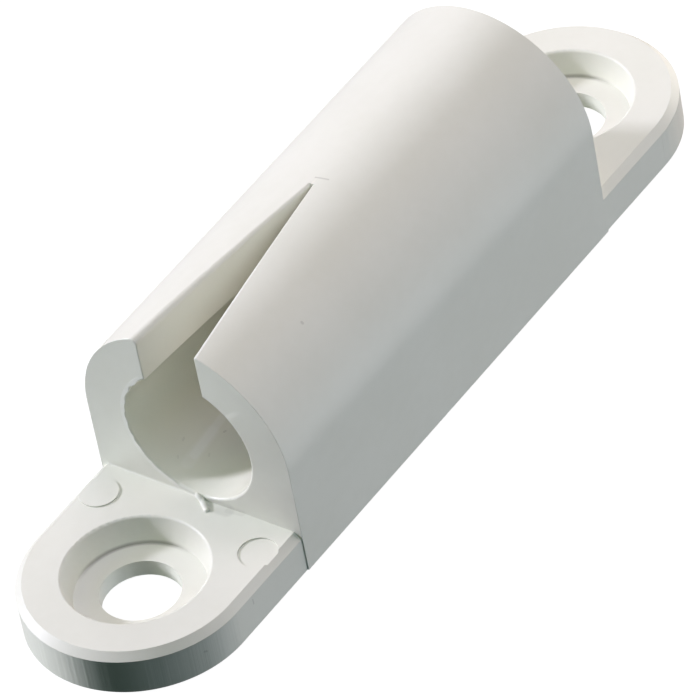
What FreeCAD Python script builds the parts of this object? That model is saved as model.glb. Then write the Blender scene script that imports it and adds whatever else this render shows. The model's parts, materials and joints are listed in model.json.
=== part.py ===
import FreeCAD, Part
import math
import os

from FreeCAD import Vector

# Tubular jam cleat, moulded in one piece: a round rope bore through an arched body,
# a V slot in the crown that the rope is pulled up into, and a screw ear at each end.
# Origin: centre of the flat mounting face. +Z is up, away from the deck.
# +X runs along the bore, away from the open mouth of the slot. All sizes are in mm.

# Body round the rope bore
BORE_DIAMETER = 9.9
BODY_LENGTH = 36.2
SIDE_WALL = 3.15
CROWN_WALL = 3.35
BORE_FLOOR_STEP = 0.25

# V slot in the crown, from the mouth end inwards
SLOT_LENGTH = 17.0
SLOT_MOUTH_WIDTH = 4.7
SLOT_TIP_WIDTH = 0.2
SLOT_OFFSET = 0.3

# Base plate and its two ears
PLATE_THICKNESS = 3.2
PLATE_EDGE_CHAMFER = 0.5
FLANK_STEP = 0.1
HOLE_SPACING = 51.0

# Screw hole with a recess for a pan head
SCREW_HOLE_DIAMETER = 5.5
RECESS_RIM_DIAMETER = 9.9
RECESS_FLOOR_DIAMETER = 8.9
RECESS_DEPTH = 1.95

# Rounded edges of the moulding. The slot's far edge is worn softer than its near edge,
# most of all at the mouth.
BODY_END_ROUND = 0.1
BORE_RIM_ROUND = 0.2
SLOT_NEAR_ROUND = 0.12
SLOT_FAR_ROUND = 0.45
SLOT_FAR_TIP_ROUND = 0.2
FOOT_FILLET = 0.15
RECESS_RIM_ROUND = 0.15

# Marks that the mould leaves on the ear at the mouth end
EJECTOR_MARK_DIAMETER = 2.7
EJECTOR_MARK_SPACING = 12.8
EJECTOR_MARK_TO_BODY = 2.6
EJECTOR_MARK_STEP = 0.1
GATE_RIDGE_WIDTH = 0.4
GATE_RIDGE_REACH = 0.85
GATE_RIDGE_DRIFT = 1.1
GATE_TEAR_LENGTH = 3.5
GATE_TEAR_DEPTH = 0.15

# Overrun of a cutting tool past the face that it opens
OVERRUN = 1.0

# An edge's middle within this distance of a plane lies on that plane
ON_PLANE = 0.01

# Sizes that follow from the ones above
BORE_RADIUS = BORE_DIAMETER / 2
BODY_HALF_WIDTH = BORE_RADIUS + SIDE_WALL
EAR_RADIUS = BODY_HALF_WIDTH - FLANK_STEP
BORE_AXIS_Z = PLATE_THICKNESS + BORE_FLOOR_STEP + BORE_RADIUS
CROWN_Z = BORE_AXIS_Z + BORE_RADIUS + CROWN_WALL
FLANK_TOP_Z = CROWN_Z - BODY_HALF_WIDTH
HALF_BODY = BODY_LENGTH / 2
HALF_SPACING = HOLE_SPACING / 2
MOUTH_X = -HALF_BODY
SLOT_TIP_X = MOUTH_X + SLOT_LENGTH
RECESS_FLOOR_Z = PLATE_THICKNESS - RECESS_DEPTH

ALONG_X = Vector(1, 0, 0)
ALONG_Y = Vector(0, 1, 0)
ALONG_Z = Vector(0, 0, 1)

# Where a quarter round's middle lies, as a share of its radius from each face
ROUND_MIDDLE = 1 - math.sqrt(0.5)


def line(start, end):
    """A straight edge."""
    return Part.LineSegment(start, end).toShape()


def arc(start, middle, end):
    """A circular edge through three points."""
    return Part.Arc(start, middle, end).toShape()


def face_of(edges):
    """A flat face inside edges that follow each other round one loop."""
    return Part.Face(Part.Wire(edges))


def obround(radius, height):
    """The plate's outline at one height: half a circle round each screw hole."""
    near_left = Vector(-HALF_SPACING, -radius, height)
    near_right = Vector(HALF_SPACING, -radius, height)
    far_left = Vector(-HALF_SPACING, radius, height)
    far_right = Vector(HALF_SPACING, radius, height)
    left_tip = Vector(-HALF_SPACING - radius, 0, height)
    right_tip = Vector(HALF_SPACING + radius, 0, height)
    return face_of([
        line(near_left, near_right),
        arc(near_right, right_tip, far_right),
        line(far_right, far_left),
        arc(far_left, left_tip, near_left),
    ])


def base_plate():
    """The long plate with round ends and a chamfer round its top edge."""
    slab = obround(EAR_RADIUS, 0).extrude(ALONG_Z * PLATE_THICKNESS)
    top_edges = [edge for edge in slab.Edges if edge.CenterOfMass.z > PLATE_THICKNESS - ON_PLANE]
    return slab.makeChamfer(PLATE_EDGE_CHAMFER, top_edges)


def arched_bar():
    """The body's section, upright flanks under a half circle, drawn past both ends."""
    start = MOUTH_X - OVERRUN
    foot_near = Vector(start, -BODY_HALF_WIDTH, 0)
    foot_far = Vector(start, BODY_HALF_WIDTH, 0)
    spring_near = Vector(start, -BODY_HALF_WIDTH, FLANK_TOP_Z)
    spring_far = Vector(start, BODY_HALF_WIDTH, FLANK_TOP_Z)
    crown = Vector(start, 0, CROWN_Z)
    section = face_of([
        line(foot_far, foot_near),
        line(foot_near, spring_near),
        arc(spring_near, crown, spring_far),
        line(spring_far, foot_far),
    ])
    return section.extrude(ALONG_X * (BODY_LENGTH + 2 * OVERRUN))


def bore_cutter():
    """The rope bore, flared by a quarter round at each end of the body.

    The profile stands on the bore's axis in the XZ plane and is turned about it.
    """
    rim = BORE_RADIUS + BORE_RIM_ROUND
    bend = BORE_RIM_ROUND * ROUND_MIDDLE
    outer = HALF_BODY + OVERRUN
    straight = HALF_BODY - BORE_RIM_ROUND

    def at(x, radius):
        return Vector(x, 0, BORE_AXIS_Z + radius)

    profile = face_of([
        line(at(-outer, 0), at(-outer, rim)),
        line(at(-outer, rim), at(-HALF_BODY, rim)),
        arc(at(-HALF_BODY, rim), at(bend - HALF_BODY, BORE_RADIUS + bend),
            at(-straight, BORE_RADIUS)),
        line(at(-straight, BORE_RADIUS), at(straight, BORE_RADIUS)),
        arc(at(straight, BORE_RADIUS), at(HALF_BODY - bend, BORE_RADIUS + bend),
            at(HALF_BODY, rim)),
        line(at(HALF_BODY, rim), at(outer, rim)),
        line(at(outer, rim), at(outer, 0)),
        line(at(outer, 0), at(-outer, 0)),
    ])
    return profile.revolve(Vector(0, 0, BORE_AXIS_Z), ALONG_X, 360)


def slot_half_width(x):
    """Half the width of the V slot at one place along the body."""
    share = (x - MOUTH_X) / SLOT_LENGTH
    return (SLOT_MOUTH_WIDTH + (SLOT_TIP_WIDTH - SLOT_MOUTH_WIDTH) * share) / 2


def slot_cutter():
    """The V slot as a tapered wedge from the bore's axis up through the crown."""
    start = MOUTH_X - 2 * OVERRUN
    wide = slot_half_width(start)
    narrow = slot_half_width(SLOT_TIP_X)
    near_start = Vector(start, SLOT_OFFSET - wide, BORE_AXIS_Z)
    near_tip = Vector(SLOT_TIP_X, SLOT_OFFSET - narrow, BORE_AXIS_Z)
    far_tip = Vector(SLOT_TIP_X, SLOT_OFFSET + narrow, BORE_AXIS_Z)
    far_start = Vector(start, SLOT_OFFSET + wide, BORE_AXIS_Z)
    wedge = face_of([
        line(near_start, near_tip),
        line(near_tip, far_tip),
        line(far_tip, far_start),
        line(far_start, near_start),
    ])
    return wedge.extrude(ALONG_Z * (CROWN_Z + OVERRUN - BORE_AXIS_Z))


def slot_edges(bar):
    """The bar's two long edges where the slot opens through the crown, near edge first."""
    crown_wall_z = CROWN_Z - CROWN_WALL / 2
    crown_edges = [
        edge for edge in bar.Edges
        if edge.Length > SLOT_LENGTH / 2
        and abs(edge.CenterOfMass.y) < SLOT_MOUTH_WIDTH / 2
        and edge.CenterOfMass.z > crown_wall_z
    ]
    return sorted(crown_edges, key=lambda edge: edge.CenterOfMass.y)


def worn_slot(bar):
    """The bar with both long edges of the slot rounded, the far one growing to the mouth."""
    far_edge = slot_edges(bar)[-1]
    radii = [SLOT_FAR_ROUND, SLOT_FAR_TIP_ROUND]
    if far_edge.Vertexes[0].Point.x > far_edge.Vertexes[-1].Point.x:
        radii.reverse()
    softened = bar.makeFillet(radii[0], radii[1], [far_edge])
    return softened.makeFillet(SLOT_NEAR_ROUND, slot_edges(softened)[:1])


def slotted_bar():
    """The bar with the slot in its crown, cut to length, before it is bored.

    The slot's edges are rounded before the ends are cut, so they end sharp at the
    mouth. A small round then breaks each end's outline above the deck.
    """
    bar = worn_slot(arched_bar().cut(slot_cutter()))
    corner = Vector(MOUTH_X, -BODY_HALF_WIDTH - OVERRUN, -OVERRUN)
    span = Part.makeBox(BODY_LENGTH, 2 * (BODY_HALF_WIDTH + OVERRUN), CROWN_Z + 2 * OVERRUN, corner)
    body = bar.common(span)
    outline = [
        edge for edge in body.Edges
        if abs(edge.CenterOfMass.x) > HALF_BODY - ON_PLANE
        and edge.CenterOfMass.z > ON_PLANE
        and abs(edge.CenterOfMass.y) > SLOT_MOUTH_WIDTH / 2 + SLOT_FAR_ROUND
    ]
    return body.makeFillet(BODY_END_ROUND, outline)


def foot_blend(side, near_y):
    """Concave fillet where one end face stands on its ear, from near_y to the far edge."""
    far_y = EAR_RADIUS - PLATE_EDGE_CHAMFER
    wall_x = side * HALF_BODY
    toe_x = wall_x + side * FOOT_FILLET
    sunk_x = wall_x - side * BODY_END_ROUND
    middle = FOOT_FILLET * ROUND_MIDDLE
    low = PLATE_THICKNESS - FOOT_FILLET
    high = PLATE_THICKNESS + FOOT_FILLET

    def at(x, z):
        return Vector(x, near_y, z)

    section = face_of([
        arc(at(wall_x, high), at(wall_x + side * middle, PLATE_THICKNESS + middle),
            at(toe_x, PLATE_THICKNESS)),
        line(at(toe_x, PLATE_THICKNESS), at(toe_x, low)),
        line(at(toe_x, low), at(sunk_x, low)),
        line(at(sunk_x, low), at(sunk_x, high)),
        line(at(sunk_x, high), at(wall_x, high)),
    ])
    return section.extrude(ALONG_Y * (far_y - near_y))


def screw_recess(x):
    """Cutter for one screw: through hole, flat ledge and tapered wall to the rim.

    The profile stands on the hole's axis and is turned about it. A small round
    breaks the edge of the rim.
    """
    hole = SCREW_HOLE_DIAMETER / 2
    floor = RECESS_FLOOR_DIAMETER / 2
    rim = RECESS_RIM_DIAMETER / 2
    taper = (rim - floor) / RECESS_DEPTH
    wall_end = rim - taper * RECESS_RIM_ROUND
    lip = rim + RECESS_RIM_ROUND
    middle = RECESS_RIM_ROUND * ROUND_MIDDLE
    top = PLATE_THICKNESS + OVERRUN

    def at(radius, z):
        return Vector(x + radius, 0, z)

    profile = face_of([
        line(at(0, -OVERRUN), at(hole, -OVERRUN)),
        line(at(hole, -OVERRUN), at(hole, RECESS_FLOOR_Z)),
        line(at(hole, RECESS_FLOOR_Z), at(floor, RECESS_FLOOR_Z)),
        line(at(floor, RECESS_FLOOR_Z), at(wall_end, PLATE_THICKNESS - RECESS_RIM_ROUND)),
        arc(at(wall_end, PLATE_THICKNESS - RECESS_RIM_ROUND),
            at(rim + middle, PLATE_THICKNESS - middle), at(lip, PLATE_THICKNESS)),
        line(at(lip, PLATE_THICKNESS), at(lip, top)),
        line(at(lip, top), at(0, top)),
        line(at(0, top), at(0, -OVERRUN)),
    ])
    return profile.revolve(Vector(x, 0, 0), ALONG_Z, 360)


def ejector_disc(side, bottom, height):
    """A disc on the mouth-end ear where one ejector pin pressed."""
    centre = Vector(MOUTH_X - EJECTOR_MARK_TO_BODY, side * EJECTOR_MARK_SPACING / 2, bottom)
    return Part.makeCylinder(EJECTOR_MARK_DIAMETER / 2, height, centre)


def raised_mark():
    """The far pin stopped short: its disc stands proud, up to the plate's chamfer."""
    bottom = PLATE_THICKNESS - PLATE_EDGE_CHAMFER / 2
    height = PLATE_EDGE_CHAMFER / 2 + EJECTOR_MARK_STEP
    flat_top = obround(EAR_RADIUS - PLATE_EDGE_CHAMFER, bottom).extrude(ALONG_Z * height)
    return ejector_disc(1, bottom, height).common(flat_top)


def sunk_mark():
    """The near pin ran long: its disc is pressed into the ear."""
    return ejector_disc(-1, PLATE_THICKNESS - EJECTOR_MARK_STEP, OVERRUN)


def gate_point(share, height):
    """A point above the gate ridge's line: share 0 at the body's face, 1 at its outer end."""
    return Vector(MOUTH_X - share * GATE_RIDGE_REACH, -share * GATE_RIDGE_DRIFT, height)


def gate_ridge():
    """Low round ridge where the gate tore off. It stays lower than the bore's floor."""
    radius = GATE_RIDGE_WIDTH / 2
    root = gate_point(-BODY_END_ROUND / GATE_RIDGE_REACH, PLATE_THICKNESS)
    end = gate_point(1, PLATE_THICKNESS)
    run = end - root
    return Part.makeCylinder(radius, run.Length, root, run).fuse(Part.makeSphere(radius, end))


def gate_tear():
    """Cutter for a shallow facet torn out of the ear, from the ridge along the body's foot.

    It is deepest where the ridge meets the body. It runs out to nothing at the ridge's
    outer end and along the foot.
    """
    deepest = gate_point(0, PLATE_THICKNESS - GATE_TEAR_DEPTH)
    outer = gate_point(1, PLATE_THICKNESS)
    foot = Vector(MOUTH_X, -GATE_TEAR_LENGTH, PLATE_THICKNESS)
    facet = face_of([line(deepest, outer), line(outer, foot), line(foot, deepest)])
    return facet.extrude(ALONG_Z * OVERRUN)


def cleat():
    """The whole moulding as one solid."""
    ear_edge = EAR_RADIUS - PLATE_EDGE_CHAMFER
    mouth_blend = foot_blend(-1, -GATE_RIDGE_DRIFT / 2)
    rear_blend = foot_blend(1, -ear_edge)
    moulding = base_plate().multiFuse([slotted_bar(), mouth_blend, rear_blend, raised_mark()])
    moulding = moulding.removeSplitter()
    recesses = [screw_recess(-HALF_SPACING), screw_recess(HALF_SPACING)]
    for cutter in [gate_tear(), bore_cutter(), sunk_mark()] + recesses:
        moulding = moulding.cut(cutter)
    return moulding.fuse(gate_ridge()).Solids[0]


def main():
    """Build the cleat, print its measures and write its STEP file."""
    os.makedirs("parts", exist_ok=True)
    shape = cleat()
    print("valid", shape.isValid(), "solids", len(shape.Solids), "faces", len(shape.Faces))
    print("volume in cubic mm", round(shape.Volume, 1))
    shape.exportStep("parts/cleat.step")


main()
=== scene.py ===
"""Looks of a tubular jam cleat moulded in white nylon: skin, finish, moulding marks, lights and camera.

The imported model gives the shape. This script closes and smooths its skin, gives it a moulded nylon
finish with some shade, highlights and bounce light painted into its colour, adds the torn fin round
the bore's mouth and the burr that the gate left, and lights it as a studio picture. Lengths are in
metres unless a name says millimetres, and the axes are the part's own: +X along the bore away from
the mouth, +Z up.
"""

from __future__ import annotations

import json
import logging
import math
from collections.abc import Sequence
from dataclasses import dataclass, field
from enum import Enum

import bpy
import numpy as np
from mathutils import Matrix, Vector

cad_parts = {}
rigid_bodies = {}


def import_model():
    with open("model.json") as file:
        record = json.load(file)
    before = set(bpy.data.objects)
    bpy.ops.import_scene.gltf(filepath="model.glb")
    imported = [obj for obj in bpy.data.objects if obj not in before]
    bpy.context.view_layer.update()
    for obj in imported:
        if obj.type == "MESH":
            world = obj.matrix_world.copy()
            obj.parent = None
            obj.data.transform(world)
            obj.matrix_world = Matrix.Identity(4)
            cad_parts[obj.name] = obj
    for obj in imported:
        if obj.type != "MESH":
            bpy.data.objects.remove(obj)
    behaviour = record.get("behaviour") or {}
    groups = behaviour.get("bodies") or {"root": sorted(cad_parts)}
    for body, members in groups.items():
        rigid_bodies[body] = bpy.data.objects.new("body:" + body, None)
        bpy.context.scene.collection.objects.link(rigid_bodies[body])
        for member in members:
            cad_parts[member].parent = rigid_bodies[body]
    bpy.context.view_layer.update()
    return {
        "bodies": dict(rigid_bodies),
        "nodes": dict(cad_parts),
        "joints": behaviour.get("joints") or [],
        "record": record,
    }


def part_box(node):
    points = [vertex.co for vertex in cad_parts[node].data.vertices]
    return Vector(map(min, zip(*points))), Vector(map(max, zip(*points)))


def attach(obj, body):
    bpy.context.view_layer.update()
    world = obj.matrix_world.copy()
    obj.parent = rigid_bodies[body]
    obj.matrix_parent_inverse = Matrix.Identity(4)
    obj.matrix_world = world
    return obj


MM = 0.001
FAR = 1.0
NODE = "cleat"
BODY = "root"
PHOTO_PIXELS = 700
SENSOR_MM = 36.0
SHARP_ANGLE = math.radians(40)
ORIGIN = (0.0, 0.0, 0.0)
WHITE = (1.0, 1.0, 1.0, 1.0)

Socket = bpy.types.NodeSocket
Sockets = bpy.types.bpy_prop_collection
Value = Socket | float | str | Sequence[float]
Triple = tuple[float, float, float]

log = logging.getLogger("jam_cleat")


class Axis(Enum):
    """The axis that a round face runs along or a flat one is square to, as an index into a point."""

    X = 0
    Y = 1
    Z = 2

    def along(self, length: float = 1.0) -> list[float]:
        """Give the vector of a length along the axis."""
        return [length if axis is self else 0.0 for axis in Axis]


class Kind(Enum):
    """The kinds of socket of a shader group, by their type names."""

    NUMBER = "NodeSocketFloat"
    VECTOR = "NodeSocketVector"
    COLOUR = "NodeSocketColor"

    @classmethod
    def of(cls, value: float | Sequence[float]) -> Kind:
        """Tell the kind by a value: a number, three numbers, or four for a colour."""
        return cls.NUMBER if isinstance(value, float) else {3: cls.VECTOR, 4: cls.COLOUR}[len(value)]


class Graph:
    """A node tree with short calls that add a node and wire it."""

    def __init__(self, tree: bpy.types.NodeTree) -> None:
        """Wrap the tree that the nodes go into."""
        self.tree = tree

    def node(self, kind: str, **settings: object) -> bpy.types.Node:
        """Add a node and set its properties.

        Args:
            kind: The node's type name.
            **settings: Properties of the node, by name.

        Returns:
            The new node.
        """
        made = self.tree.nodes.new(kind)
        for name, value in settings.items():
            setattr(made, name, value)
        return made

    def feed(self, socket: Socket, value: Value) -> None:
        """Link a socket to another one, or set its value.

        Args:
            socket: The input socket.
            value: An output socket, or a plain value.
        """
        if isinstance(value, Socket):
            self.tree.links.new(value, socket)
        else:
            socket.default_value = value

    def wire(self, made: bpy.types.Node, **values: Value) -> bpy.types.Node:
        """Feed several inputs of a node.

        Args:
            made: The node.
            **values: The values by the inputs' names, with an underscore for each space.

        Returns:
            The same node.
        """
        for name, value in values.items():
            self.feed(made.inputs[name.replace("_", " ")], value)
        return made

    def group(self, tree: bpy.types.NodeTree, **values: Value) -> Sockets:
        """Place a shader group in the tree, feed it and give its outputs."""
        return self.wire(self.node("ShaderNodeGroup", node_tree=tree), **values).outputs

    def math(self, operation: str, *values: Value, clamp: bool = False) -> Socket:
        """Add a Math node.

        Args:
            operation: The node's operation.
            *values: Its inputs, in order.
            clamp: Whether the result is held between 0 and 1.

        Returns:
            The result's socket.
        """
        made = self.node("ShaderNodeMath", operation=operation, use_clamp=clamp)
        for socket, value in zip(made.inputs, values):
            self.feed(socket, value)
        return made.outputs[0]

    def plus(self, first: Value, second: Value) -> Socket:
        """Add two numbers."""
        return self.math("ADD", first, second)

    def minus(self, first: Value, second: Value) -> Socket:
        """Take the second number from the first."""
        return self.math("SUBTRACT", first, second)

    def times(self, first: Value, second: Value) -> Socket:
        """Multiply two numbers."""
        return self.math("MULTIPLY", first, second)

    def below(self, value: Value, high: Value) -> Socket:
        """Give 1 where a number is below another, and 0 elsewhere."""
        return self.math("LESS_THAN", value, high)

    def above(self, value: Value, low: Value) -> Socket:
        """Give 1 where a number is above another, and 0 elsewhere."""
        return self.math("GREATER_THAN", value, low)

    def vector(self, operation: str, *values: Value) -> Socket:
        """Add a Vector Math node.

        Args:
            operation: The node's operation.
            *values: Its inputs, in order.

        Returns:
            The socket of its vector, or of its number for a length or a dot product.
        """
        made = self.node("ShaderNodeVectorMath", operation=operation)
        for socket, value in zip(made.inputs, values):
            self.feed(socket, value)
        return made.outputs["Value" if operation in {"LENGTH", "DOT_PRODUCT"} else "Vector"]

    def scaled(self, vector: Value, factor: Value) -> Socket:
        """Multiply a vector by a number."""
        made = self.node("ShaderNodeVectorMath", operation="SCALE")
        return self.wire(made, Vector=vector, Scale=factor).outputs[0]

    def split(self, vector: Value) -> list[Socket]:
        """Split a vector into its X, Y and Z sockets."""
        return list(self.wire(self.node("ShaderNodeSeparateXYZ"), Vector=vector).outputs)

    def join(self, x: Value, y: Value, z: Value) -> Socket:
        """Join three numbers into a vector."""
        return self.wire(self.node("ShaderNodeCombineXYZ"), X=x, Y=y, Z=z).outputs[0]

    def ramp(self, value: Value, low: float, high: float, start: float = 0.0, end: float = 1.0) -> Socket:
        """Map a number smoothly from one span to another.

        Args:
            value: The number.
            low: Where the span starts.
            high: Where it ends.
            start: The result at its start.
            end: The result at its end.

        Returns:
            The result's socket.
        """
        made = self.node("ShaderNodeMapRange", interpolation_type="SMOOTHSTEP")
        self.wire(made, Value=value, From_Min=low, From_Max=high, To_Min=start, To_Max=end)
        return made.outputs[0]

    def noise(self, vector: Value, scale: Value, detail: float = 2.0, rough: float = 0.5) -> Socket:
        """Add a noise texture.

        Args:
            vector: Where the noise is read.
            scale: Waves per metre, or per unit of the vector.
            detail: How many finer octaves it holds.
            rough: How strong each finer octave is.

        Returns:
            The socket of its grey value, about 0.5 on average.
        """
        made = self.node("ShaderNodeTexNoise")
        return self.wire(made, Vector=vector, Scale=scale, Detail=detail, Roughness=rough).outputs[0]

    def blend(self, share: Value, first: Value, second: Value) -> Socket:
        """Mix two colours.

        Args:
            share: 0 gives the first colour, 1 the second.
            first: A colour or its socket.
            second: A colour or its socket.

        Returns:
            The mixed colour's socket.
        """
        made = self.node("ShaderNodeMix", data_type="RGBA")
        for index, item in ((0, share), (6, first), (7, second)):
            self.feed(made.inputs[index], item)
        return made.outputs[2]


@dataclass(frozen=True)
class CleatSizes:
    """The moulding's main sizes, which the skin, the marks and the finish are placed by."""

    crown_radius: float
    crown_axis_z: float
    bore_radius: float
    bore_axis_z: float
    ear_radius: float
    hole_offset: float
    hole_radius: float
    body_half: float = 18.1 * MM
    plate_top: float = 3.2 * MM
    chamfer: float = 0.5 * MM
    end_round: float = 0.1 * MM
    rim_round: float = 0.2 * MM
    slot_length: float = 17.0 * MM
    slot_mouth: float = 4.7 * MM
    slot_offset: float = 0.3 * MM
    slot_soft: float = 0.45 * MM
    recess_floor: float = 1.25 * MM
    recess_radius: float = 4.45 * MM

    @classmethod
    def from_frame(cls, frame: dict) -> CleatSizes:
        """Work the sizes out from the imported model's box and mounts.


        Returns:
            The sizes in metres.
        """
        _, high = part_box(NODE)
        mounts = {mount["name"]: mount for mount in frame["record"]["mounts"]}
        bore = mounts["rope_bore"]
        screws = mounts["screw_holes"]["dims"]
        hole_offset = screws["spacing_x_mm"] * MM / 2
        return cls(
            crown_radius=high.y,
            crown_axis_z=high.z - high.y,
            bore_radius=bore["dims"]["r_mm"] * MM,
            bore_axis_z=bore["pos_m"][2],
            ear_radius=high.x - hole_offset,
            hole_offset=hole_offset,
            hole_radius=screws["hole_r_mm"] * MM,
        )


def past_slot(graph: Graph, place: Socket, sizes: CleatSizes, margin: float) -> Socket:
    """Find how far a point lies past the slot's wall, across the body.

    With b half the body's length, m the slot's width at the mouth and l its length, the slot reaches
    m/2 (1 - (x + b)/l) to each side of its middle.

    Args:
        graph: The tree to add to.
        place: The point's position.
        sizes: The moulding's sizes.
        margin: How much wider than that each side counts as the slot.

    Returns:
        The distance's socket, below 0 in the slot.
    """
    x, y, _ = graph.split(place)
    left = graph.minus(1.0, graph.math("DIVIDE", graph.plus(x, sizes.body_half), sizes.slot_length))
    edge = graph.plus(graph.times(left, sizes.slot_mouth / 2), margin)
    return graph.minus(graph.math("ABSOLUTE", graph.minus(y, sizes.slot_offset)), edge)


@dataclass(frozen=True)
class RoundFace:
    """A cylinder of the skin between two corners, whose facets are smoothed back to the true round.

    Its ends may run into the end faces by a quarter round. The body's outer face is the one that the
    slot cuts and that goes straight down below its axis.
    """

    axis: Axis
    centre: Triple
    radius: float
    inward: bool
    low: Triple
    high: Triple
    end_round: float = 0.0
    outer: bool = False


@dataclass(frozen=True)
class FlatFace:
    """A plane of the skin, square to an axis, that faces along it or against it."""

    axis: Axis
    offset: float
    sign: float


@dataclass
class Skin:
    """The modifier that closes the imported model's loose triangles and gives them true normals."""

    sizes: CleatSizes
    weld: float = 0.002 * MM
    reach: float = 0.002 * MM
    sagitta: float = 0.03 * MM
    slot_sagitta: float = 0.009 * MM
    slot_margin: float = 1.5
    end_share: float = 0.25
    share_ramp: float = 1.0 * MM
    crease: float = math.radians(35)
    tangent: float = math.cos(math.radians(32))
    levels: int = 1
    name: str = "true_skin"
    graph: Graph = field(init=False)
    place: Socket = field(init=False)

    def __post_init__(self) -> None:
        """Start the geometry node group, with the point's position at hand."""
        tree = bpy.data.node_groups.new(self.name, "GeometryNodeTree")
        for way in ("INPUT", "OUTPUT"):
            tree.interface.new_socket("Geometry", in_out=way, socket_type="NodeSocketGeometry")
        self.graph = Graph(tree)
        self.place = self.graph.node("GeometryNodeInputPosition").outputs[0]

    def round_faces(self) -> list[RoundFace]:
        """List the cylinders.

        Returns:
            The crown, the bore, and the wall and screw hole of each ear.
        """
        s = self.sizes
        along = (-s.body_half, -FAR, 0.0), (s.body_half, FAR, FAR)
        crown_axis, bore_axis = (0.0, 0.0, s.crown_axis_z), (0.0, 0.0, s.bore_axis_z)
        faces = [
            RoundFace(Axis.X, crown_axis, s.crown_radius, False, *along, s.end_round, outer=True),
            RoundFace(Axis.X, bore_axis, s.bore_radius, True, *along, s.rim_round),
        ]
        for side in (-1.0, 1.0):
            middle = (side * s.hole_offset, 0.0, 0.0)
            start, stop = sorted((side * s.hole_offset, side * FAR))
            wall = (start, -FAR, -FAR), (stop, FAR, s.plate_top - s.chamfer)
            hole = (-FAR, -FAR, -FAR), (FAR, FAR, s.recess_floor)
            faces.append(RoundFace(Axis.Z, middle, s.ear_radius, False, *wall))
            faces.append(RoundFace(Axis.Z, middle, s.hole_radius, True, *hole))
        return faces

    def flat_faces(self) -> list[FlatFace]:
        """List the planes that other faces run into without an edge.

        Returns:
            The plate's top, the ledges, the end faces and the flanks.
        """
        s = self.sizes
        faces = [FlatFace(Axis.Z, s.plate_top, 1.0), FlatFace(Axis.Z, s.recess_floor, 1.0)]
        for axis, reach in ((Axis.X, s.body_half), (Axis.Y, s.crown_radius)):
            faces += [FlatFace(axis, side * reach, side) for side in (-1.0, 1.0)]
        return faces

    def beside_slot(self) -> Socket:
        """Find how far a point lies past the slot and the rounds of its edges."""
        return past_slot(self.graph, self.place, self.sizes, self.slot_margin * self.sizes.slot_soft)

    def corner_share(self) -> Socket:
        """Find the share that the round of the body's end edges keeps: all at the slot only."""
        return self.graph.ramp(self.beside_slot(), 0.0, self.share_ramp, 1.0, self.end_share)

    def outward(self, face: RoundFace) -> Socket:
        """Find the vector from a cylinder's axis out to a point, level beside the body's flanks.

        Args:
            face: The cylinder.

        Returns:
            The vector's socket.
        """
        across = [1.0 - value for value in face.axis.along()]
        away = self.graph.vector("SUBTRACT", self.place, face.centre)
        arm = self.graph.vector("MULTIPLY", away, across)
        if face.outer:
            x, y, z = self.graph.split(arm)
            arm = self.graph.join(x, y, self.graph.math("MAXIMUM", z, 0.0))
        return arm

    def near_round(self, face: RoundFace, share: Value) -> tuple[Socket, Socket, Socket]:
        """Find the points on a cylinder, where they belong and the exact normal there.

        A point is on it if its distance from the axis is the radius, less at most the facets' sagitta,
        and it lies between the face's corners. Beside the slot it has to be nearer, so that the slot's
        rounded edges keep their shape. In a rounded end of radius e, at a depth d beyond the straight
        part, the radius falls by e - sqrt(e^2 - d^2) and the normal leans along the axis by d.

        Args:
            face: The cylinder.
            share: The share of the end round's size that counts.

        Returns:
            The sockets of the mask, above 0.5 on the face, of the true position and of the normal.
        """
        graph = self.graph
        arm = self.outward(face)
        length = graph.vector("LENGTH", arm)
        radial = graph.vector("NORMALIZE", arm)
        side = -1.0 if face.inward else 1.0
        radius: Value = face.radius
        normal = graph.scaled(radial, side)
        if face.end_round:
            end = graph.times(share, face.end_round)
            along = graph.split(self.place)[face.axis.value]
            start = graph.minus(face.high[face.axis.value], end)
            depth = graph.math("MAXIMUM", graph.minus(graph.math("ABSOLUTE", along), start), 0.0)
            left = graph.minus(graph.math("POWER", end, 2.0), graph.times(depth, depth))
            stand = graph.math("SQRT", graph.math("MAXIMUM", left, 0.0))
            radius = graph.minus(face.radius, graph.times(graph.minus(end, stand), side))
            lean = graph.times(depth, graph.math("SIGN", along))
            both = graph.vector("ADD", graph.scaled(normal, stand), graph.scaled(face.axis.along(), lean))
            normal = graph.vector("NORMALIZE", both)

        slack: Value = self.sagitta
        if face.outer:
            clear = graph.above(self.beside_slot(), 0.0)
            slack = graph.plus(self.slot_sagitta, graph.times(clear, self.sagitta - self.slot_sagitta))
        mask = graph.below(length, graph.plus(radius, self.reach))
        mask = graph.times(mask, graph.above(length, graph.minus(radius, slack)))
        for value, low, high in zip(graph.split(self.place), face.low, face.high):
            mask = graph.times(mask, graph.above(value, low - self.reach))
            mask = graph.times(mask, graph.below(value, high + self.reach))
        step = graph.scaled(radial, graph.minus(radius, length))
        return mask, graph.vector("ADD", self.place, step), normal

    def move(self, mesh: Socket, mask: Socket, **to: Socket) -> Socket:
        """Move some points of a mesh.

        Args:
            mesh: The mesh so far.
            mask: Above 0.5 at the points that move.
            **to: Their new Position, or the Offset that they move by.

        Returns:
            The changed mesh.
        """
        moved = self.graph.node("GeometryNodeSetPosition")
        self.graph.wire(moved, Geometry=mesh, Selection=self.graph.above(mask, 0.5), **to)
        return moved.outputs[0]

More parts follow.
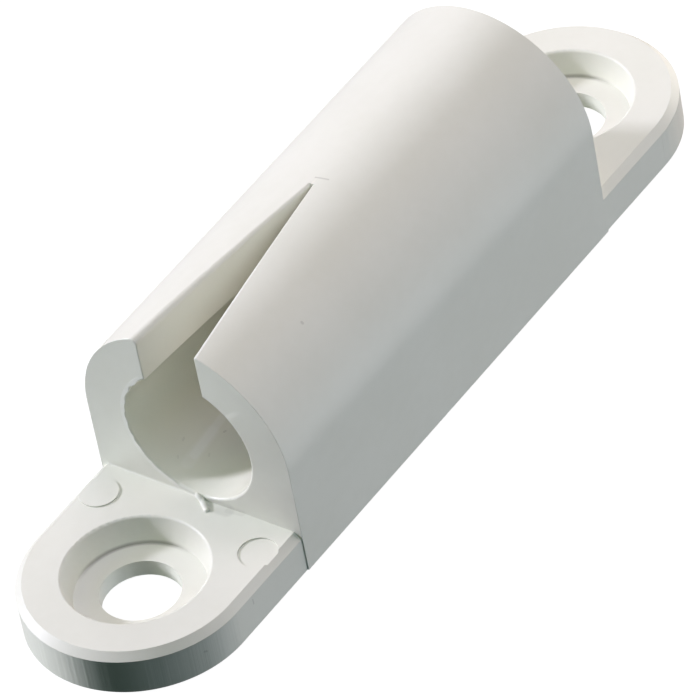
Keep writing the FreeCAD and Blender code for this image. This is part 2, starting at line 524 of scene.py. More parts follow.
    def tighten(self, mesh: Socket, face: RoundFace) -> Socket:
        """Draw the round of the body's end edges in towards the corner that it cuts off.

        With c the corner, a point p of the round goes to c + k (p - c), which leaves a smaller round of
        the same form. Down beside the plate the row that lies on the plate's side stays where it is.

        Args:
            mesh: The mesh so far.
            face: The body's outer face.

        Returns:
            The changed mesh.
        """
        graph = self.graph
        x, _, z = graph.split(self.place)
        arm = self.outward(face)
        depth = graph.minus(self.sizes.body_half, graph.math("ABSOLUTE", x))
        under = graph.minus(face.radius, graph.vector("LENGTH", arm))
        edge = face.end_round + self.reach
        beside = graph.below(z, self.sizes.plate_top + self.reach)
        limit = graph.minus(edge, graph.times(beside, 2 * self.reach))
        near = graph.times(graph.below(depth, edge), graph.below(under, limit))

        share = self.corner_share()
        along = graph.times(graph.minus(depth, graph.times(depth, share)), graph.math("SIGN", x))
        out = graph.minus(under, graph.times(under, share))
        step = graph.scaled(graph.vector("NORMALIZE", arm), out)
        return self.move(mesh, near, Offset=graph.vector("ADD", step, graph.join(along, 0.0, 0.0)))

    def normals(self) -> Socket:
        """Find the normals: on a face that meets a cylinder or plane without an edge, that surface's own.

        Returns:
            The socket of each face corner's normal.
        """
        graph = self.graph
        plain = graph.node("GeometryNodeInputNormal")
        facing = graph.node("GeometryNodeFieldOnDomain", domain="FACE", data_type="FLOAT_VECTOR")
        graph.feed(facing.inputs[0], plain.outputs["True Normal"])
        surfaces = []
        for face in self.round_faces():
            mask, _, normal = self.near_round(face, self.corner_share() if face.outer else 1.0)
            surfaces.append((mask, normal))
        for face in self.flat_faces():
            value = graph.split(self.place)[face.axis.value]
            off = graph.math("ABSOLUTE", graph.minus(value, face.offset))
            surfaces.append((graph.below(off, self.reach), face.axis.along(face.sign)))

        result = plain.outputs["Normal"]
        for mask, normal in surfaces:
            meets = graph.above(graph.vector("DOT_PRODUCT", facing.outputs[0], normal), self.tangent)
            chosen = graph.node("GeometryNodeSwitch", input_type="VECTOR")
            graph.wire(chosen, Switch=graph.times(mask, meets), **{"False": result, "True": normal})
            result = chosen.outputs[0]
        return result

    def build(self) -> bpy.types.NodeTree:
        """Build the geometry node group.

        The triangles are welded and divided. Points between two facets of a cylinder go out to its
        true radius, and the body's end edges are drawn in. Edges over the crease angle stay sharp,
        and the normals are set.

        Returns:
            The node group.
        """
        graph = self.graph
        bare = graph.node("GeometryNodeRemoveAttribute")
        graph.wire(bare, Geometry=graph.node("NodeGroupInput").outputs[0], Name="custom_normal")
        welded = graph.node("GeometryNodeMergeByDistance")
        graph.wire(welded, Geometry=bare.outputs[0], Distance=self.weld)
        divided = graph.node("GeometryNodeSubdivideMesh")
        graph.wire(divided, Mesh=welded.outputs[0], Level=self.levels)

        mesh = divided.outputs[0]
        for face in self.round_faces():
            mask, target, _ = self.near_round(face, 1.0)
            mesh = self.move(mesh, mask, Position=target)
        mesh = self.tighten(mesh, self.round_faces()[0])

        soft = graph.wire(graph.node("GeometryNodeSetShadeSmooth", domain="FACE"), Geometry=mesh)
        gentle = graph.below(graph.node("GeometryNodeInputMeshEdgeAngle").outputs[0], self.crease)
        creased = graph.node("GeometryNodeSetShadeSmooth", domain="EDGE")
        graph.wire(creased, Geometry=soft.outputs[0], Shade_Smooth=gentle)
        exact = graph.node("GeometryNodeSetMeshNormal", mode="FREE", domain="CORNER")
        graph.wire(exact, Mesh=creased.outputs[0], Custom_Normal=self.normals())
        graph.feed(graph.node("NodeGroupOutput").inputs[0], exact.outputs[0])
        return graph.tree


def shader_group(
    name: str, inputs: dict[str, Value], outputs: dict[str, Value]
) -> tuple[Graph, Sockets, Sockets]:
    """Start a shader node group that reads a place and other inputs.

    Args:
        name: The group's name.
        inputs: The default value of each input but Place, by name.
        outputs: The default value of each output, by name.

    Returns:
        The group's graph, the sockets that it is given and the sockets that it gives.
    """
    tree = bpy.data.node_groups.new(name, "ShaderNodeTree")
    for way, values in (("INPUT", {"Place": ORIGIN, **inputs}), ("OUTPUT", outputs)):
        for label, value in values.items():
            socket = tree.interface.new_socket(label, in_out=way, socket_type=Kind.of(value).value)
            socket.default_value = value
    graph = Graph(tree)
    return graph, graph.node("NodeGroupInput").outputs, graph.node("NodeGroupOutput").inputs


def grain_group() -> bpy.types.NodeTree:
    """Build the fine texture of a moulded surface: a mould's grain over slow waves from shrinkage.

    Returns:
        A group that gives a height between 0 and 1.
    """
    graph, given, out = shader_group(
        "mould_grain", {"Grain Scale": 4000.0, "Wave Scale": 300.0, "Wave Share": 0.6}, {"Height": 0.0}
    )
    grain = graph.noise(given["Place"], given["Grain Scale"], detail=3.0, rough=0.6)
    wave = graph.noise(given["Place"], given["Wave Scale"], detail=1.0)
    fine = graph.times(grain, graph.minus(1.0, given["Wave Share"]))
    graph.feed(out["Height"], graph.plus(graph.times(wave, given["Wave Share"]), fine))
    return graph.tree


def drift_group() -> bpy.types.NodeTree:
    """Build the slow drift of tone in a white moulding, with a faint mottle in its finer part.

    Returns:
        A group that gives a colour between its two tones.
    """
    graph, given, out = shader_group(
        "tone_drift", {"Scale": 120.0, "Light": WHITE, "Deep": WHITE}, {"Color": WHITE}
    )
    finer, slow_share, low, high = 9.0, 0.7, 0.3, 0.7
    slow = graph.noise(given["Place"], given["Scale"], detail=1.0)
    fine = graph.noise(given["Place"], graph.times(given["Scale"], finer), detail=2.0)
    level = graph.plus(graph.times(slow, slow_share), graph.times(fine, 1 - slow_share))
    graph.feed(out["Color"], graph.blend(graph.ramp(level, low, high), given["Light"], given["Deep"]))
    return graph.tree


def streak_group() -> bpy.types.NodeTree:
    """Build the upright streaks that the mould's cutter left round an ear's wall, and the wall's shade.

    Both depend on the angle about the hole's axis alone, so the streaks run straight up. The angle
    is 0 at the ear's tip and grows towards +Y. The shade is painted shade: it deepens in two steps from
    the flank on the -Y side towards the tip, and drops off there.

    Returns:
        A group that gives a height and a shade, both between 0 and 1 and both 0 off the wall.
    """
    # Each span of the painted shade: where it starts and ends, in degrees, and its value there.
    spans = ((-95, -60, 0.0, 0.45), (-42, -22, 0.0, 0.55), (-20, 4, 1.0, 0.0))
    wall_slack = 0.1 * MM
    graph, given, out = shader_group(
        "cutter_streaks_and_shade",
        {"Hole Offset": 0.0255, "Ear Radius": 0.008, "Wall Top": 0.0027, "Per Radian": 10.0},
        {"Height": 0.0, "Shade": 0.0},
    )
    x, y, z = graph.split(given["Place"])
    out_x = graph.minus(graph.math("ABSOLUTE", x), given["Hole Offset"])
    arm = graph.vector("LENGTH", graph.join(out_x, y, 0.0))
    wall = graph.math("COMPARE", arm, given["Ear Radius"], wall_slack)
    wall = graph.times(graph.times(wall, graph.below(z, given["Wall Top"])), graph.above(out_x, 0.0))

    turn = graph.math("ARCTAN2", y, out_x)
    where = graph.join(turn, graph.math("SIGN", x), 0.0)
    height = graph.noise(where, given["Per Radian"], detail=4.0, rough=0.6)
    graph.feed(out["Height"], graph.times(height, wall))
    slow, steep, fall = (
        graph.ramp(turn, math.radians(low), math.radians(high), first, last)
        for low, high, first, last in spans
    )
    shade = graph.times(graph.plus(slow, steep), fall)
    graph.feed(out["Shade"], graph.times(shade, wall))
    return graph.tree


def spot_group() -> bpy.types.NodeTree:
    """Build one small mark: the places within half its width of the line from its start to its end.

    Returns:
        A group that gives 1 in the mark and 0 outside it.
    """
    inputs = {"Start": ORIGIN, "End": ORIGIN, "Width": 0.1 * MM}
    graph, given, out = shader_group("spot", inputs, {"Mask": 0.0})
    least_square, core, rim = 1e-12, 0.6, 1.2
    line = graph.vector("SUBTRACT", given["End"], given["Start"])
    arm = graph.vector("SUBTRACT", given["Place"], given["Start"])
    square = graph.math("MAXIMUM", graph.vector("DOT_PRODUCT", line, line), least_square)
    share = graph.math("DIVIDE", graph.vector("DOT_PRODUCT", arm, line), square, clamp=True)
    away = graph.vector("LENGTH", graph.vector("SUBTRACT", arm, graph.scaled(line, share)))
    ratio = graph.math("DIVIDE", away, graph.times(given["Width"], 0.5))
    graph.feed(out["Mask"], graph.ramp(ratio, core, rim, 1.0, 0.0))
    return graph.tree


def corner_group() -> bpy.types.NodeTree:
    """Build the dark line in the corner where a recess's wall meets its floor.

    The line is painted shade. It fades out towards the recess's other side, where the wall is open to the
    light. Middle is the angle, in radians, at which it is darkest.

    Returns:
        A group that gives 1 in the line and 0 away from it.
    """
    graph, given, out = shader_group(
        "recess_corner_shade",
        {"Hole Offset": 0.0255, "Radius": 0.0045, "Height": 0.00125, "Width": 0.0003, "Middle": 0.8},
        {"Mask": 0.0},
    )
    fade_start, fade_end, core = 0.45, 0.9, 0.1
    x, y, z = graph.split(given["Place"])
    from_x = graph.minus(x, graph.times(graph.math("SIGN", x), given["Hole Offset"]))
    out_by = graph.minus(graph.vector("LENGTH", graph.join(from_x, y, 0.0)), given["Radius"])
    up_by = graph.minus(z, given["Height"])
    away = graph.math("DIVIDE", graph.vector("LENGTH", graph.join(out_by, up_by, 0.0)), given["Width"])
    turn = graph.minus(graph.math("ARCTAN2", y, from_x), given["Middle"])
    shaded = graph.ramp(graph.math("COSINE", turn), fade_start, fade_end)
    graph.feed(out["Mask"], graph.times(graph.ramp(away, core, 1.0, 1.0, 0.0), shaded))
    return graph.tree


@dataclass
class Groups:
    """The shader node groups that the finishes use."""

    grain: bpy.types.NodeTree = field(default_factory=grain_group)
    drift: bpy.types.NodeTree = field(default_factory=drift_group)
    streak: bpy.types.NodeTree = field(default_factory=streak_group)
    spot: bpy.types.NodeTree = field(default_factory=spot_group)
    corner: bpy.types.NodeTree = field(default_factory=corner_group)


def start_material(name: str) -> tuple[bpy.types.Material, Graph, bpy.types.Node, Socket]:
    """Start a material.

    Args:
        name: The material's name.

    Returns:
        The material, its graph, its shader node and the socket of the object's coordinates.
    """
    material = bpy.data.materials.new(name)
    material.use_nodes = True
    graph = Graph(material.node_tree)
    shader = material.node_tree.nodes["Principled BSDF"]
    return material, graph, shader, graph.node("ShaderNodeTexCoord").outputs["Object"]


@dataclass(frozen=True)
class Mark:
    """A small mark on the surface, from one point to another, in millimetres.

    A negative strength lightens the surface, a positive one darkens it. The dark marks are real flecks
    and specks and painted shade; the light ones are painted highlights, a painted reflection and a
    painted glint.
    """

    start: Triple
    end: Triple
    width: float
    strength: float


@dataclass(frozen=True)
class Nylon:
    """White moulded nylon: satin outside and smoother in the bore."""

    name: str = "moulded_nylon"
    light: Triple = (0.80, 0.80, 0.725)
    deep: Triple = (0.77, 0.77, 0.69)
    # Painted bounce light: warmer tints for the bore and the slot's walls, for light warmed between the
    # nylon's walls and through it.
    bore_bounce_tint: Triple = (0.83, 0.825, 0.73)
    slot_bounce_tint: Triple = (0.845, 0.83, 0.74)
    # Dark tone for real flecks and specks, and for painted shade.
    stain_and_shade: Triple = (0.30, 0.29, 0.25)
    # Light tone for painted highlights, a painted reflection and a painted glint.
    pale: Triple = (0.93, 0.93, 0.89)
    # Colour and strength of the painted shade on the ears' walls.
    shaded: Triple = (0.02, 0.09, 0.08)
    painted_shade_strength: float = 0.60
    # Strength of the painted shade in the recesses' corners.
    corner_shade_strength: float = 0.65
    satin: float = 0.46
    bore_satin: float = 0.16
    patch_scale: float = 500.0
    patch_depth: float = 0.08
    ior: float = 1.5
    grain_depth: float = 0.006 * MM
    streak_depth: float = 0.06 * MM
    wall_start: float = 0.02 * MM
    wall_end: float = 0.12 * MM
    marks: tuple[Mark, ...] = (
        # The line past the slot's tip and the speck on the crown.
        Mark((-0.46, 0.43, 16.69), (-0.28, -0.48, 16.69), 0.14, 0.35),
        Mark((-10.88, -5.28, 14.74), (-10.88, -5.34, 14.69), 0.22, 0.30),
        # The pale line along the slot's near edge: a painted highlight.
        Mark((-18.00, -2.08, 16.44), (-9.60, -0.92, 16.66), 0.34, -0.85),
        Mark((-9.60, -0.92, 16.66), (-1.60, 0.20, 16.70), 0.30, -0.75),
        # The flecks in the bore, and the pale band in it: a painted reflection.
        Mark((-12.75, 1.74, 3.77), (-12.60, 1.70, 3.76), 0.15, 0.22),
        Mark((-14.99, 1.41, 3.65), (-14.80, 1.50, 3.67), 0.15, 0.12),
        Mark((-15.23, 3.16, 4.59), (-15.05, 3.20, 4.62), 0.18, 0.14),
        Mark((-16.52, 2.72, 4.26), (-16.40, 2.80, 4.31), 0.15, 0.12),
        Mark((-11.80, 2.42, 4.08), (-15.60, 2.14, 3.94), 0.62, -0.42),
        Mark((-13.20, 2.31, 4.02), (-16.40, 2.10, 3.92), 0.95, -0.26),
        # The specks on the mouth-end ear's wall, and the light dot on its edge: a painted glint.
        Mark((-28.57, -7.38, 1.66), (-28.42, -7.45, 1.58), 0.16, 0.35),
        Mark((-23.80, -8.0, 2.35), (-23.78, -8.0, 1.95), 0.12, 0.30),
        Mark((-30.88, -5.88, 2.90), (-30.84, -5.92, 2.90), 0.16, -0.60),
        # The shade in the tear beside the gate's burr.
        Mark((-18.50, -1.00, 3.20), (-18.46, -2.40, 3.20), 1.00, 0.20),
        Mark((-18.34, -2.40, 3.20), (-18.16, -3.40, 3.20), 0.55, 0.12),
    )

    def build(self, sizes: CleatSizes, groups: Groups) -> bpy.types.Material:
        """Build the material.

        Args:
            sizes: The moulding's sizes, which place the bore and the ears.
            groups: The shared shader node groups.

        Returns:
            The material.
        """
        material, graph, shader, place = start_material(self.name)
        bore, slot = self.masks(graph, place, sizes)
        here = {"Place": place, "Hole_Offset": sizes.hole_offset}
        wall_top = sizes.plate_top - sizes.chamfer
        streaks = graph.group(groups.streak, **here, Ear_Radius=sizes.ear_radius, Wall_Top=wall_top)
        corner = graph.group(groups.corner, **here, Height=sizes.recess_floor, Radius=sizes.recess_radius)
        drift = graph.group(groups.drift, Place=place, Light=(*self.light, 1), Deep=(*self.deep, 1))
        # The bore and the slot's walls take painted bounce light, a warmer tint.
        layers = [(bore, self.bore_bounce_tint), (slot, self.slot_bounce_tint)]
        # Each mark paints a real fleck or speck, painted shade, or a painted highlight, reflection or
        # glint.
        for mark in self.marks:
            start, end = ([value * MM for value in point] for point in (mark.start, mark.end))
            spot = graph.group(groups.spot, Place=place, Start=start, End=end, Width=mark.width * MM)
            tone = self.stain_and_shade if mark.strength > 0 else self.pale
            layers.append((graph.times(spot["Mask"], abs(mark.strength)), tone))
        # Painted shade: a dark line in each recess's corner, which fades where the wall is open to the
        # light.
        layers.append((graph.times(corner["Mask"], self.corner_shade_strength), self.stain_and_shade))
        # Painted shade on the ears' walls, darkest towards each ear's tip on the -Y side.
        layers.append((graph.times(streaks["Shade"], self.painted_shade_strength), self.shaded))
        colour = drift["Color"]
        for share, tone in layers:
            colour = graph.blend(share, colour, (*tone, 1))

        patchy = graph.times(graph.noise(place, self.patch_scale), self.patch_depth)
        satin = graph.plus(self.satin - self.patch_depth / 2, patchy)
        polish = graph.times(bore, self.satin - self.bore_satin)
        grain = graph.group(groups.grain, Place=place)
        fine = graph.node("ShaderNodeBump")
        graph.wire(fine, Height=grain["Height"], Distance=self.grain_depth)
        coarse = graph.node("ShaderNodeBump")
        graph.wire(coarse, Height=streaks["Height"], Distance=self.streak_depth, Normal=fine.outputs[0])
        rough = graph.minus(satin, polish)
        graph.wire(shader, Base_Color=colour, Roughness=rough, Normal=coarse.outputs[0], IOR=self.ior)
        return material

    def masks(self, graph: Graph, place: Socket, sizes: CleatSizes) -> tuple[Socket, Socket]:
        """Find the bore's wall and the slot's two walls, which face each other above the bore.

        The bore's mask has a soft edge across the rounds of its rims.

        Args:
            graph: The material's graph.
            place: The point's position.
            sizes: The moulding's sizes.

        Returns:
            A socket that gives 1 in the bore and one that gives 1 on the slot's walls.
        """
        x, y, z = graph.split(place)
        arm = graph.vector("LENGTH", graph.join(0.0, y, graph.minus(z, sizes.bore_axis_z)))
        inside = graph.ramp(arm, sizes.bore_radius, sizes.bore_radius + sizes.rim_round / 2, 1.0, 0.0)
        bore = graph.times(inside, graph.below(graph.math("ABSOLUTE", x), sizes.body_half))
        walls = graph.ramp(past_slot(graph, place, sizes, 0.0), self.wall_start, self.wall_end, 1.0, 0.0)
        over = graph.above(z, sizes.bore_axis_z + sizes.bore_radius / 2)
        behind = graph.above(x, self.wall_start - sizes.body_half)
        return bore, graph.times(walls, graph.times(over, behind))


@dataclass(frozen=True)
class TornNylon:
    """The same nylon where it tore or squeezed out: paler, with a coarser grain and no tool marks."""

    name: str = "torn_nylon"
    light: Triple = (0.84, 0.84, 0.78)
    deep: Triple = (0.80, 0.80, 0.73)
    drift_scale: float = 900.0
    satin: float = 0.45
    patch_scale: float = 2500.0
    patch_depth: float = 0.16
    grain_scale: float = 6000.0
    wave_share: float = 0.3
    grain_depth: float = 0.012 * MM

    def build(self, groups: Groups) -> bpy.types.Material:
        """Build the material.

        Args:
            groups: The shared shader node groups.

        Returns:
            The material.
        """
        material, graph, shader, place = start_material(self.name)
        tones = {"Light": (*self.light, 1), "Deep": (*self.deep, 1)}
        drift = graph.group(groups.drift, Place=place, Scale=self.drift_scale, **tones)
        patchy = graph.times(graph.noise(place, self.patch_scale), self.patch_depth)
        satin = graph.plus(self.satin - self.patch_depth / 2, patchy)
        grain = graph.group(
            groups.grain, Place=place, Grain_Scale=self.grain_scale, Wave_Share=self.wave_share
        )
        bump = graph.node("ShaderNodeBump")
        graph.wire(bump, Height=grain["Height"], Distance=self.grain_depth)
        graph.wire(shader, Base_Color=drift["Color"], Roughness=satin, Normal=bump.outputs[0])
        return material


def add_object(name: str, data: bpy.types.ID) -> bpy.types.Object:
    """Make an object of a mesh, light or camera and put it in the scene.

    Args:
        name: The object's name.
        data: What it shows.

    Returns:
        The object.
    """
    made = bpy.data.objects.new(name, data)
    bpy.context.scene.collection.objects.link(made)
    return made


def grid_piece(name: str, points: np.ndarray, material: bpy.types.Material) -> bpy.types.Object:
    """Make a piece from a grid of points, closed across the profile and capped at both ends.

    The grid's rows are closed loops, one after another along a path. Each loop is joined to the next by
    quads, and a fan to the loop's mean point closes each end.

    Args:
        name: The piece's name.
        points: An array of rows, loops and coordinates, in metres.
        material: Its finish.

    Returns:
        The piece's object, riding on the part's body.
    """
    rows, around, _ = points.shape
    start, step = np.meshgrid(np.arange(rows - 1) * around, np.arange(around), indexing="ij")
    after = (step + 1) % around
    over = start + around
    quads = np.stack([start + step, start + after, over + after, over + step], -1)
    ring = np.arange(around)
    turned = (ring + 1) % around
    last = (rows - 1) * around
    first_fan = np.stack([np.full(around, rows * around), turned, ring], -1)
    last_fan = np.stack([np.full(around, rows * around + 1), last + ring, last + turned], -1)
    ends = np.stack([points[0].mean(0), points[-1].mean(0)])
    mesh = bpy.data.meshes.new(name)
    mesh.from_pydata(
        np.vstack([points.reshape(-1, 3), ends]),
        [],
        [*quads.reshape(-1, 4).tolist(), *first_fan.tolist(), *last_fan.tolist()],
    )
    mesh.polygons.foreach_set("use_smooth", np.ones(len(mesh.polygons), bool))
    mesh.materials.append(material)
    mesh.validate()
    mesh.set_sharp_from_angle(angle=SHARP_ANGLE)
    piece = add_object(name, mesh)
    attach(piece, BODY)
    log.info("%s: %d points, %d faces", name, len(mesh.vertices), len(mesh.polygons))
    return piece


def smooth_noise(where: np.ndarray, waves: int, seed: int) -> np.ndarray:
    """Add up sine waves of rising frequency with seeded phases.

    Args:
        where: Places along a path, from 0 to 1.
        waves: How many waves are added, the k-th with k periods along the path.
        seed: Sets the phases and weights.

    Returns:
        Values of -1 to 1.
    """
    random = np.random.default_rng(seed)
    count = np.arange(1, waves + 1)
    phase = random.uniform(0, 2 * np.pi, waves)
    weight = random.uniform(0.3, 1.0, waves)
    total = (weight * np.sin(2 * np.pi * count * where[:, None] + phase)).sum(1)
    return total / np.abs(total).max()


@dataclass
class MouthFin:
    """The thin torn fin that squeezed out round the bore's mouth, on the far side and underneath.

    The depths are those of the profile's points behind the front, as shares of the rim's round.
    """

    sizes: CleatSizes
    material: bpy.types.Material
    start: float = math.radians(30)
    end: float = math.radians(168)
    proud: float = 0.012 * MM
    root: float = 0.16 * MM
    reach: float = 0.21 * MM
    scallop: float = 0.20 * MM
    per_turn: int = 30
    wander: float = 0.5
    taper: float = 0.75
    even: float = 0.6
    fade_rate: float = 14.0
    lip_round: float = 0.1
    depths: tuple[float, ...] = (0.0, 0.0, 0.0, 0.15, 0.35, 0.8, 0.8)
    steps: int = 420
    name: str = "mouth_fin"

    def build(self) -> bpy.types.Object:
        """Sweep a flat skirt round the rim, which squares off the rim's round.

        The angle runs from +Z towards +Y. At each angle the loop goes from the root, out on the body's
        face, in to a scalloped lip near the bore's radius, and back inside the wall. The scallops are
        the bow of a sine, strongest near the slot, and the skirt sinks into the wall at both ends.

        Returns:
            The fin's object.
        """
        s = self.sizes
        share = np.linspace(0, 1, self.steps)
        angle = self.start + (self.end - self.start) * share
        wander = self.wander * smooth_noise(share, waves=5, seed=3)
        bows = np.abs(np.sin(angle * self.per_turn / 2 + wander))
        uneven = self.even + (1 - self.even) * smooth_noise(share, waves=9, seed=7)
        depth = self.scallop * (1 - self.taper * share) * bows * uneven
        fade = np.clip(np.minimum(share, 1 - share) * self.fade_rate, 0, 1)

        root = np.full_like(share, s.bore_radius + s.rim_round + self.root)
        lip = root - (self.root + (self.reach - depth)) * fade
        near_lip = lip + self.lip_round * self.root
        inside = root - self.root / 2
        radius = np.stack([root, (root + lip) / 2, near_lip, lip, lip, inside, root], -1)
        back = np.array(self.depths) * s.rim_round
        front = -s.body_half - self.proud * fade + 2 * self.proud * (1 - fade)
        x = front[:, None] + back
        y = np.sin(angle)[:, None] * radius
        z = s.bore_axis_z + np.cos(angle)[:, None] * radius
        return grid_piece(self.name, np.stack([x, y, z], -1), self.material)


@dataclass
class GateBurr:
    """The bright burr where the gate broke off, from the bore's floor over the rim to the plate."""

    sizes: CleatSizes
    material: bpy.types.Material
    start_y: float = 0.30 * MM
    end_y: float = -1.10 * MM
    length: float = 0.82 * MM
    width: float = 0.42 * MM
    height: float = 0.11 * MM
    waist: float = 0.35
    taper: float = 0.25
    uneven: float = 0.08
    least: float = 0.02
    around: int = 16
    steps: int = 60
    name: str = "gate_burr"

    def build(self) -> bpy.types.Object:
        """Sweep a round-backed ridge along the break.

        The path runs straight in plan, and its height falls from the bore's floor to the plate's top
        by the smooth step 3t^2 - 2t^3. Each loop is an ellipse whose size is a sixth-power bow, round
        at both ends, times a taper with a waist of the fourth power of a sine between the two heads.

        Returns:
            The burr's object.
        """
        s = self.sizes
        share = np.linspace(0, 1, self.steps)
        x = -s.body_half - self.length * share
        y = self.start_y + (self.end_y - self.start_y) * share
        floor = s.bore_axis_z - math.sqrt(s.bore_radius**2 - self.start_y**2)
        z = floor + (s.plate_top - floor) * share * share * (3 - 2 * share)
        ends = np.sqrt(np.clip(1 - (2 * share - 1) ** 6, 0, 1))
        heads = 1 - self.waist * np.sin(np.pi * share) ** 4 - self.taper * share
        uneven = 1 + self.uneven * smooth_noise(share, waves=7, seed=11)
        size = np.clip(ends * heads * uneven, self.least, None)
        loop = np.linspace(0, 2 * np.pi, self.around + 1)[:-1]
        side = np.array([self.start_y - self.end_y, -self.length])
        side = side / np.linalg.norm(side)
        wide = np.outer(size, np.cos(loop)) * self.width / 2
        tall = np.outer(size, np.sin(loop)) * self.height
        points = [x[:, None] + side[0] * wide, y[:, None] + side[1] * wide, z[:, None] + tall]
        return grid_piece(self.name, np.stack(points, -1)[:, ::-1], self.material)


@dataclass
class Moulding:
    """The cleat itself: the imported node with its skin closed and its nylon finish."""

    node: bpy.types.Object
    sizes: CleatSizes
    material: bpy.types.Material
    shadow_offset: float = 0.5

    def dress(self) -> None:
        """Give the node its skin modifier and put the finish in its material slot."""
        skin = Skin(self.sizes)
        modifier = self.node.modifiers.new(skin.name, "NODES")
        modifier.node_group = skin.build()
        self.node.shadow_terminator_geometry_offset = self.shadow_offset
        for slot in self.node.material_slots:
            slot.material = self.material
        log.info("%s: %d packed triangles, skin closed", self.node.name, len(self.node.data.polygons))


@dataclass
class Floor:
    """The plain pale floor that the cleat stands on."""

    half: float = 4.0
    squares: int = 8
    tone: float = 0.162
    fleck_share: float = 0.97
    fleck_scale: float = 60.0
    roughness: float = 0.9
    glow: float = 0.93
    name: str = "floor"

    def finish(self) -> bpy.types.Material:
        """Build a matte white that mostly glows, so that shadows on it stay faint.

        Returns:
            The material.
        """
        material, graph, shader, place = start_material("pale_floor")
        fleck = graph.noise(place, self.fleck_scale, detail=3.0)
        tones = ((tone, tone, tone, 1) for tone in (self.tone, self.tone * self.fleck_share))
        graph.wire(
            shader,
            Base_Color=graph.blend(fleck, *tones),
            Roughness=self.roughness,
            Specular_IOR_Level=0.0,
            Emission_Color=WHITE,
            Emission_Strength=self.glow,
        )
        return material

    def build(self) -> bpy.types.Object:
        """Make the floor: a flat grid at height 0 that neither lights nor shades the cleat.

        Returns:
            The floor's object.
        """
        row = self.squares + 1
        side = np.linspace(-self.half, self.half, row)
        x, y = np.meshgrid(side, side, indexing="ij")
        square = np.arange(self.squares**2)
        corner = square + square // self.squares
        mesh = bpy.data.meshes.new(self.name)
        mesh.from_pydata(
            np.stack([x.ravel(), y.ravel(), np.zeros(x.size)], -1),
            [],
            np.stack([corner, corner + row, corner + row + 1, corner + 1], -1).tolist(),
        )
        mesh.materials.append(self.finish())
        floor = add_object(self.name, mesh)
        floor.visible_diffuse = False
        floor.visible_glossy = False
        floor.visible_shadow = False
        log.info("%s: %d faces", self.name, len(mesh.polygons))
        return floor


@dataclass(frozen=True)
class Softbox:
    """A square or oblong studio light that faces the part.

    The azimuth is counted from +X towards +Y, and both angles are in degrees.
    """

    name: str
    azimuth: float
    elevation: float
    width: float
    height: float
    watts: float
    tint: Triple
    distance: float = 0.65

    def place(self, target: Vector) -> bpy.types.Object:
        """Hang the light in its direction from a point and turn it to face that point.

        Args:
            target: The point, in metres.

        Returns:
            The light's object.
        """
        turn, lift = math.radians(self.azimuth), math.radians(self.elevation)
        away = Vector((math.cos(turn) * math.cos(lift), math.sin(turn) * math.cos(lift), math.sin(lift)))
        data = bpy.data.lights.new(self.name, "AREA")
        data.shape = "RECTANGLE"
        data.size, data.size_y = self.width, self.height
        data.energy = self.watts
        data.color = self.tint
        light = add_object(self.name, data)
        light.visible_camera = False
        turned = away.to_track_quat("Z", "Y").to_matrix().to_4x4()
        light.matrix_world = Matrix.Translation(target + away * self.distance) @ turned
        return light


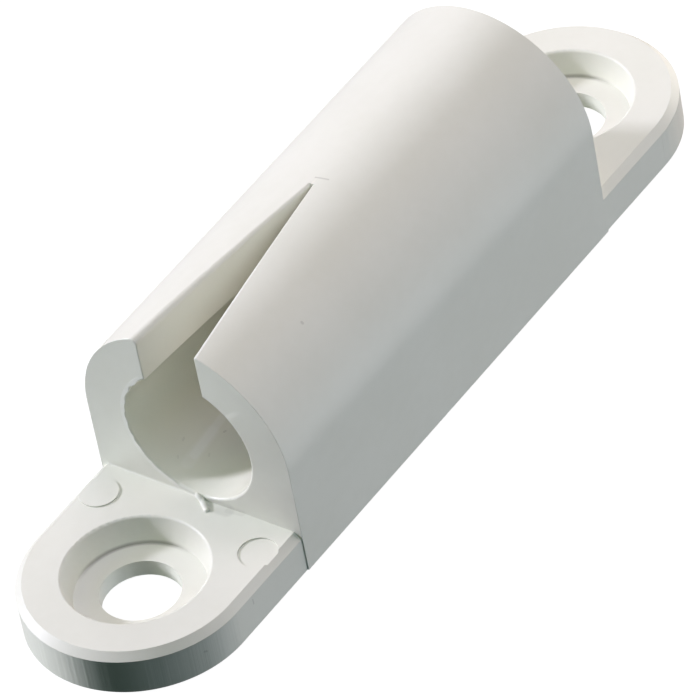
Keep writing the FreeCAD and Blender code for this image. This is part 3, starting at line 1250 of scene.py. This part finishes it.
@dataclass
class Studio:
    """The lights and the surround."""

    target: Vector
    boxes: tuple[Softbox, ...] = (
        Softbox("key", 114, 25, 0.07, 0.07, 4.13, (0.86, 0.84, 1.00)),
        Softbox("key_side_fill", 120, 45, 0.45, 0.40, 0.78, (0.96, 0.97, 0.52)),
        Softbox("top", 0, 89, 0.45, 0.45, 1.34, (0.66, 0.74, 1.00)),
        Softbox("near_top", 300, 66, 0.45, 0.40, 0.94, (1.00, 0.66, 0.52)),
        Softbox("near_side", 300, 42, 0.45, 0.40, 0.73, (0.92, 0.91, 1.00)),
        Softbox("near_left", 240, 42, 0.45, 0.40, 0.32, (0.36, 1.00, 0.95)),
        Softbox("rear", 0, 8, 0.45, 0.30, 1.96, (1.00, 0.97, 0.88)),
        Softbox("near_rear", 330, 8, 0.35, 0.30, 0.30, (1.00, 0.84, 0.72)),
        Softbox("far_rear", 30, 25, 0.30, 0.30, 0.70, (1.00, 0.97, 0.99)),
        Softbox("near_bounce", 300, -25, 0.50, 0.35, 1.48, (0.78, 0.88, 1.00)),
        Softbox("rear_bounce", 0, -25, 0.50, 0.35, 0.81, (1.00, 0.83, 0.81)),
        Softbox("key_side_bounce", 120, -25, 0.50, 0.35, 1.67, (0.90, 1.00, 0.99)),
    )

    def build(self) -> None:
        """Hang the lights and give the surround its glow: white to the camera and dark to the part."""
        for box in self.boxes:
            box.place(self.target)
        world = bpy.data.worlds.new("studio")
        world.use_nodes = True
        graph = Graph(world.node_tree)
        seen = graph.node("ShaderNodeLightPath").outputs["Is Camera Ray"]
        graph.wire(world.node_tree.nodes["Background"], Color=WHITE, Strength=seen)
        scene = bpy.context.scene
        scene.world = world
        scene.view_settings.view_transform = "Standard"
        scene.view_settings.look = "None"
        log.info("studio: %d lights", len(self.boxes))


@dataclass(frozen=True)
class PhotoCamera:
    """The camera at the photograph's viewing angle. Angles are in degrees and lengths in metres.

    The azimuth is 0 looking along +Y and falls as the camera goes round towards -X.
    """

    azimuth: float = -48.1344
    elevation: float = 41.6816
    roll: float = -11.3363
    distance: float = 0.497685
    right: float = -0.000804
    up: float = 0.000779
    focal_pixels: float = 7447.688
    nearest: float = 0.05
    farthest: float = 20.0

    def build(self) -> bpy.types.Object:
        """Make the camera and put it in charge.

        Returns:
            The camera's object.
        """
        turn, lift, roll = (math.radians(value) for value in (self.azimuth, self.elevation, self.roll))
        back = Vector((math.sin(turn) * math.cos(lift), -math.cos(turn) * math.cos(lift), math.sin(lift)))
        level = Vector((math.cos(turn), math.sin(turn), 0))
        upright = back.cross(level)
        right = math.cos(roll) * level + math.sin(roll) * upright
        up = math.cos(roll) * upright - math.sin(roll) * level
        data = bpy.data.cameras.new("camera")
        data.sensor_width = SENSOR_MM
        data.lens = self.focal_pixels * SENSOR_MM / PHOTO_PIXELS
        data.clip_start, data.clip_end = self.nearest, self.farthest
        camera = add_object("camera", data)
        turned = Matrix((right, up, back)).transposed().to_4x4()
        spot = back * self.distance + right * self.right + up * self.up
        camera.matrix_world = Matrix.Translation(spot) @ turned
        bpy.context.scene.camera = camera
        log.info("camera: %.1f mm lens", data.lens)
        return camera


def main() -> None:
    """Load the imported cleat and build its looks, in order."""
    logging.basicConfig(level=logging.INFO, format="%(name)s: %(message)s")
    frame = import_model()
    sizes = CleatSizes.from_frame(frame)
    groups = Groups()
    torn = TornNylon().build(groups)

    PhotoCamera().build()
    Moulding(frame["nodes"][NODE], sizes, Nylon().build(sizes, groups)).dress()
    MouthFin(sizes, torn).build()
    GateBurr(sizes, torn).build()
    Floor().build()
    Studio(Vector((0, 0, sizes.bore_axis_z))).build()


if __name__ == "__main__":
    main()
